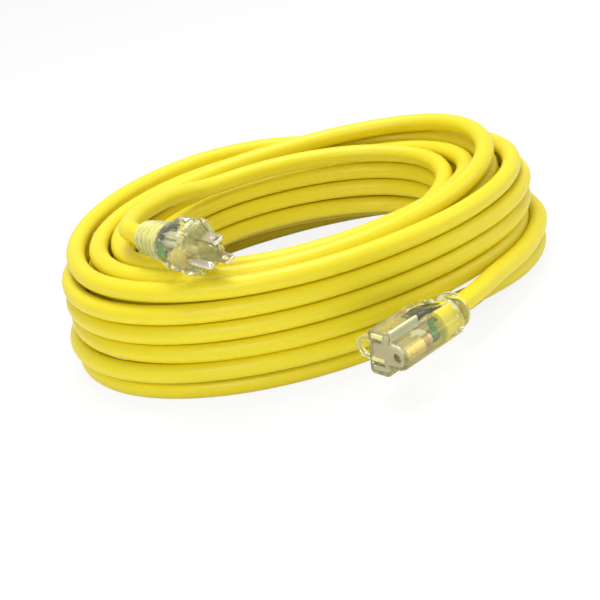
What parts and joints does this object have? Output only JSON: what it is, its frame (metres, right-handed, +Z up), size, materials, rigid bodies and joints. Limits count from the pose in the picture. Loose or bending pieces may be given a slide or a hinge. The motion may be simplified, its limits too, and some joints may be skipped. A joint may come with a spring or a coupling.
{
  "type": "extension cord",
  "caption": "Heavy outdoor extension cord wound in a low oval coil, with a clear moulded three-pin plug at one end and a clear moulded receptacle with an indicator lamp at the other.",
  "frame": {"origin": "bottom middle of the whole part, on the surface that the coil lies on", "axes": "+Z up, +X along the oval coil's long axis, to the right in the picture, +Y away from the viewer"},
  "size_m": [0.304, 0.2844, 0.1025],
  "materials": {
    "jacket": "satin yellow vinyl",
    "clear_moulding": "clear moulded vinyl",
    "plug_bridge": "moulded",
    "socket_block": "moulded",
    "blade_metal": "nickel washed brass",
    "contact_brass": "stamped",
    "copper": "bare copper",
    "black_insulation": "satin",
    "white_insulation": "satin",
    "green_insulation": "satin",
    "lamp_glass": "small indicator lamp",
    "resistor": "coated"
  },
  "bodies": {
    "root": {"cord_coil": "jacket", "cord_tail_plug": "jacket", "cord_tail_socket": "jacket", "plug_body": "clear_moulding", "plug_core": "plug_bridge", "plug_hot_blade": "blade_metal", "plug_neutral_blade": "blade_metal", "plug_ground_pin": "blade_metal", "plug_hot_wire": "black_insulation", "plug_neutral_wire": "white_insulation", "plug_ground_wire": "green_insulation", "plug_wire_ends": "copper", "plug_jacket_end": "jacket", "socket_body": "clear_moulding", "socket_core": "socket_block", "socket_hot_contact": "contact_brass", "socket_neutral_contact": "contact_brass", "socket_ground_contact": "contact_brass", "socket_hot_wire": "black_insulation", "socket_neutral_wire": "white_insulation", "socket_ground_wire": "green_insulation", "socket_wire_ends": "copper", "socket_jacket_end": "jacket", "socket_lamp": "lamp_glass", "socket_lamp_leads": "copper", "socket_lamp_resistor": "resistor"}
  },
  "joints": []
}
